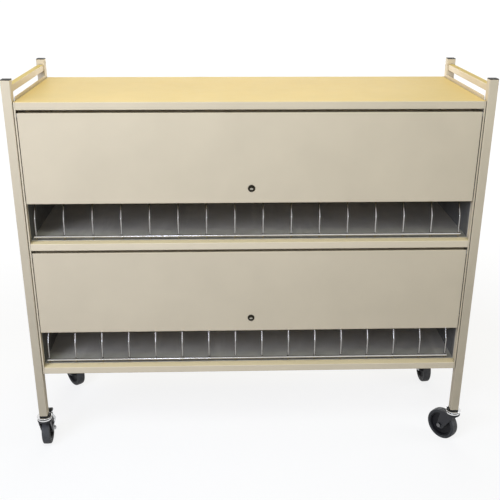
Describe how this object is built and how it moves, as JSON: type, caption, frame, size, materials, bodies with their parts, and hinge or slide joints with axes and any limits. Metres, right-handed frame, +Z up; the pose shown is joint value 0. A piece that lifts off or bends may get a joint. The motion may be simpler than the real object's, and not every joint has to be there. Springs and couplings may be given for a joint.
{
  "type": "medical chart rack",
  "caption": "Beige steel cart on swivel casters with two binder compartments, wire slot dividers, receding locking panels and end push handles.",
  "frame": {"origin": "on the floor under the middle of the cart", "axes": "+X along the cart to the right of a user who faces the panels, +Y from the user towards the back, +Z up"},
  "size_m": [1.3626, 0.4596, 1.175],
  "materials": {
    "beige_paint": "satin powder coat, fine texture",
    "grey_liner": "matt",
    "wire_chrome": "bright plated wire",
    "race_chrome": "bright plated",
    "lock_chrome": "dull plated",
    "zinc_steel": "zinc plated",
    "white_nylon": "matt",
    "black_plastic": "matt",
    "fork_paint": "satin black",
    "wheel_plastic": "satin",
    "tread_rubber": "matt"
  },
  "bodies": {
    "root": {"front_left_post": "beige_paint", "front_right_post": "beige_paint", "rear_left_post": "beige_paint", "rear_right_post": "beige_paint", "post_caps": "black_plastic", "left_handle": "beige_paint", "right_handle": "beige_paint", "top_shelf": "beige_paint", "middle_shelf": "beige_paint", "bottom_shelf": "beige_paint", "left_side_panel": "beige_paint", "right_side_panel": "beige_paint", "back_panel": "beige_paint", "frame_bolts": "zinc_steel", "door_tracks": "zinc_steel", "lock_strikes": "zinc_steel", "upper_liner": "grey_liner", "lower_liner": "grey_liner", "upper_dividers": "wire_chrome", "lower_dividers": "wire_chrome", "upper_rack_rails": "wire_chrome", "lower_rack_rails": "wire_chrome", "caster_stems": "race_chrome", "caster_sockets": "black_plastic"},
    "upper_carriage": {"upper_door_shaft": "zinc_steel", "upper_door_glides": "white_nylon"},
    "upper_door": {"upper_door_panel": "beige_paint", "upper_lock_body": "lock_chrome", "upper_bar_guides": "white_nylon"},
    "upper_lock": {"upper_lock_plug": "lock_chrome", "upper_lock_cam": "zinc_steel"},
    "upper_left_bar": {"upper_left_bolt_bar": "zinc_steel"},
    "upper_right_bar": {"upper_right_bolt_bar": "zinc_steel"},
    "lower_carriage": {"lower_door_shaft": "zinc_steel", "lower_door_glides": "white_nylon"},
    "lower_door": {"lower_door_panel": "beige_paint", "lower_lock_body": "lock_chrome", "lower_bar_guides": "white_nylon"},
    "lower_lock": {"lower_lock_plug": "lock_chrome", "lower_lock_cam": "zinc_steel"},
    "lower_left_bar": {"lower_left_bolt_bar": "zinc_steel"},
    "lower_right_bar": {"lower_right_bolt_bar": "zinc_steel"},
    "front_left_caster": {"front_left_caster_fork": "fork_paint", "front_left_caster_axle": "zinc_steel"},
    "front_left_wheel": {"front_left_wheel_hub": "wheel_plastic", "front_left_tyre": "tread_rubber"},
    "front_left_brake": {"front_left_brake_pedal": "black_plastic"},
    "front_right_caster": {"front_right_caster_fork": "fork_paint", "front_right_caster_axle": "zinc_steel"},
    "front_right_wheel": {"front_right_wheel_hub": "wheel_plastic", "front_right_tyre": "tread_rubber"},
    "rear_left_caster": {"rear_left_caster_fork": "fork_paint", "rear_left_caster_axle": "zinc_steel"},
    "rear_left_wheel": {"rear_left_wheel_hub": "wheel_plastic", "rear_left_tyre": "tread_rubber"},
    "rear_right_caster": {"rear_right_caster_fork": "fork_paint", "rear_right_caster_axle": "zinc_steel"},
    "rear_right_wheel": {"rear_right_wheel_hub": "wheel_plastic", "rear_right_tyre": "tread_rubber"},
    "rear_right_brake": {"rear_right_brake_pedal": "black_plastic"}
  },
  "joints": [
    {"name": "upper_door_slide", "type": "slide", "parent": "root", "child": "upper_carriage", "axis": [0, 1, 0], "range_m": [0, 0.24]},
    {"name": "upper_door_swing", "type": "hinge", "parent": "upper_carriage", "child": "upper_door", "pos_m": [0, -0.205, 1.0776], "axis": [-1, 0, 0], "range_deg": [0, 90]},
    {"name": "upper_lock_turn", "type": "hinge", "parent": "upper_door", "child": "upper_lock", "pos_m": [0, -0.2145, 0.8705], "axis": [0, -1, 0], "range_deg": [-90, 0]},
    {"name": "upper_left_bar_slide", "type": "slide", "parent": "upper_door", "child": "upper_left_bar", "axis": [1, 0, 0], "range_m": [-0.01, 0]},
    {"name": "upper_right_bar_slide", "type": "slide", "parent": "upper_door", "child": "upper_right_bar", "axis": [-1, 0, 0], "range_m": [-0.01, 0]},
    {"name": "lower_door_slide", "type": "slide", "parent": "root", "child": "lower_carriage", "axis": [0, 1, 0], "range_m": [0, 0.24]},
    {"name": "lower_door_swing", "type": "hinge", "parent": "lower_carriage", "child": "lower_door", "pos_m": [0, -0.205, 0.6696], "axis": [-1, 0, 0], "range_deg": [0, 90]},
    {"name": "lower_lock_turn", "type": "hinge", "parent": "lower_door", "child": "lower_lock", "pos_m": [0, -0.2145, 0.4625], "axis": [0, -1, 0], "range_deg": [-90, 0]},
    {"name": "lower_left_bar_slide", "type": "slide", "parent": "lower_door", "child": "lower_left_bar", "axis": [1, 0, 0], "range_m": [-0.01, 0]},
    {"name": "lower_right_bar_slide", "type": "slide", "parent": "lower_door", "child": "lower_right_bar", "axis": [-1, 0, 0], "range_m": [-0.01, 0]},
    {"name": "front_left_swivel", "type": "hinge", "parent": "root", "child": "front_left_caster", "pos_m": [-0.6553, -0.2063, 0.125], "axis": [0, 0, 1], "continuous": true},
    {"name": "front_left_wheel_spin", "type": "hinge", "parent": "front_left_caster", "child": "front_left_wheel", "pos_m": [-0.65767, -0.17238, 0.0508], "axis": [0.9976, 0.0698, 0], "continuous": true},
    {"name": "front_left_brake_press", "type": "hinge", "parent": "front_left_caster", "child": "front_left_brake", "pos_m": [-0.65736, -0.17687, 0.1089], "axis": [-0.9976, -0.0698, 0], "range_deg": [0, 10]},
    {"name": "front_right_swivel", "type": "hinge", "parent": "root", "child": "front_right_caster", "pos_m": [0.6553, -0.2063, 0.125], "axis": [0, 0, 1], "continuous": true},
    {"name": "front_right_wheel_spin", "type": "hinge", "parent": "front_right_caster", "child": "front_right_wheel", "pos_m": [0.6339, -0.17988, 0.0508], "axis": [0.7771, 0.6293, 0], "continuous": true},
    {"name": "rear_left_swivel", "type": "hinge", "parent": "root", "child": "rear_left_caster", "pos_m": [-0.6553, 0.2063, 0.125], "axis": [0, 0, 1], "continuous": true},
    {"name": "rear_left_wheel_spin", "type": "hinge", "parent": "rear_left_caster", "child": "rear_left_wheel", "pos_m": [-0.6339, 0.17988, 0.0508], "axis": [-0.7771, -0.6293, 0], "continuous": true},
    {"name": "rear_right_swivel", "type": "hinge", "parent": "root", "child": "rear_right_caster", "pos_m": [0.6553, 0.2063, 0.125], "axis": [0, 0, 1], "continuous": true},
    {"name": "rear_right_wheel_spin", "type": "hinge", "parent": "rear_right_caster", "child": "rear_right_wheel", "pos_m": [0.65767, 0.17238, 0.0508], "axis": [-0.9976, -0.0698, 0], "continuous": true},
    {"name": "rear_right_brake_press", "type": "hinge", "parent": "rear_right_caster", "child": "rear_right_brake", "pos_m": [0.65736, 0.17687, 0.1089], "axis": [0.9976, 0.0698, 0], "range_deg": [0, 10]}
  ],
  "couplings": [
    {"joint": "upper_door_slide", "follows": "upper_door_swing", "m_per_rad": 0.15279},
    {"joint": "upper_right_bar_slide", "follows": "upper_left_bar_slide", "ratio": 1},
    {"joint": "upper_lock_turn", "follows": "upper_left_bar_slide", "rad_per_m": 157.07},
    {"joint": "lower_door_slide", "follows": "lower_door_swing", "m_per_rad": 0.15279},
    {"joint": "lower_right_bar_slide", "follows": "lower_left_bar_slide", "ratio": 1},
    {"joint": "lower_lock_turn", "follows": "lower_left_bar_slide", "rad_per_m": 157.07}
  ]
}
